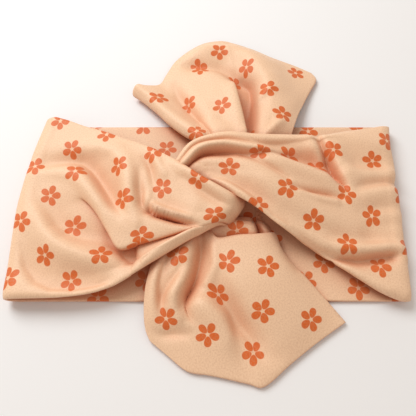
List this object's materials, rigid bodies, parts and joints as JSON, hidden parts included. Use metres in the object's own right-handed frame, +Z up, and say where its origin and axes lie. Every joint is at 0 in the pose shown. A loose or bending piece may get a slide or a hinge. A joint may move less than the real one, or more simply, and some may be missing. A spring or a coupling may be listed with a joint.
{
  "type": "knotted headband",
  "caption": "Soft wide stretch-knit headband, a flat loop tied at the front in a half knot with two free tails, with a small flower print.",
  "frame": {"origin": "middle of the back band's underside, on the surface that the headband lies on, below the knot", "axes": "+X towards the right side fold, +Y towards the crown edge and the top tail, +Z up out of the front of the knot"},
  "size_m": [0.244, 0.2499, 0.0311],
  "materials": {
    "printed_knit": "double-brushed stretch knit, soft matte, pale peach with a terracotta five-petal flower print",
    "seam_thread": "tone-on-tone sewn and turned seam edge, soft matte"
  },
  "bodies": {
    "back": {"back_left_outer_ply": "printed_knit", "back_left_inner_ply": "printed_knit", "back_right_outer_ply": "printed_knit", "back_right_inner_ply": "printed_knit", "centre_back_seam": "seam_thread", "left_tube_long_seam": "seam_thread", "right_tube_long_seam": "seam_thread", "left_side_fold": "printed_knit", "right_side_fold": "printed_knit"},
    "front": {"left_wrap_upper_pleat": "printed_knit", "left_wrap_lower_pleat": "printed_knit", "right_wrap": "printed_knit", "right_wrap_top_roll": "printed_knit", "left_tube_turn": "printed_knit", "right_tube_turn": "printed_knit", "knot_core": "printed_knit", "top_tail_root": "printed_knit", "bottom_tail_root": "printed_knit"},
    "top_tail": {"top_tail_upper_ply": "printed_knit", "top_tail_under_ply": "printed_knit", "top_tail_end_seam": "seam_thread"},
    "bottom_tail": {"bottom_tail_upper_ply": "printed_knit", "bottom_tail_under_ply": "printed_knit", "bottom_tail_end_seam": "seam_thread"}
  },
  "joints": [
    {"name": "loop_stretch", "type": "slide", "parent": "back", "child": "front", "axis": [0, 0, 1], "range_m": [0, 0.04], "deforming": ["left_side_fold", "right_side_fold"]},
    {"name": "top_tail_lift", "type": "hinge", "parent": "front", "child": "top_tail", "pos_m": [0.015, 0.0505, 0.016], "axis": [1, 0, 0], "range_deg": [0, 85]},
    {"name": "bottom_tail_lift", "type": "hinge", "parent": "front", "child": "bottom_tail", "pos_m": [0.003, -0.0365, 0.0125], "axis": [-0.9537, -0.3009, 0], "range_deg": [0, 85]}
  ]
}
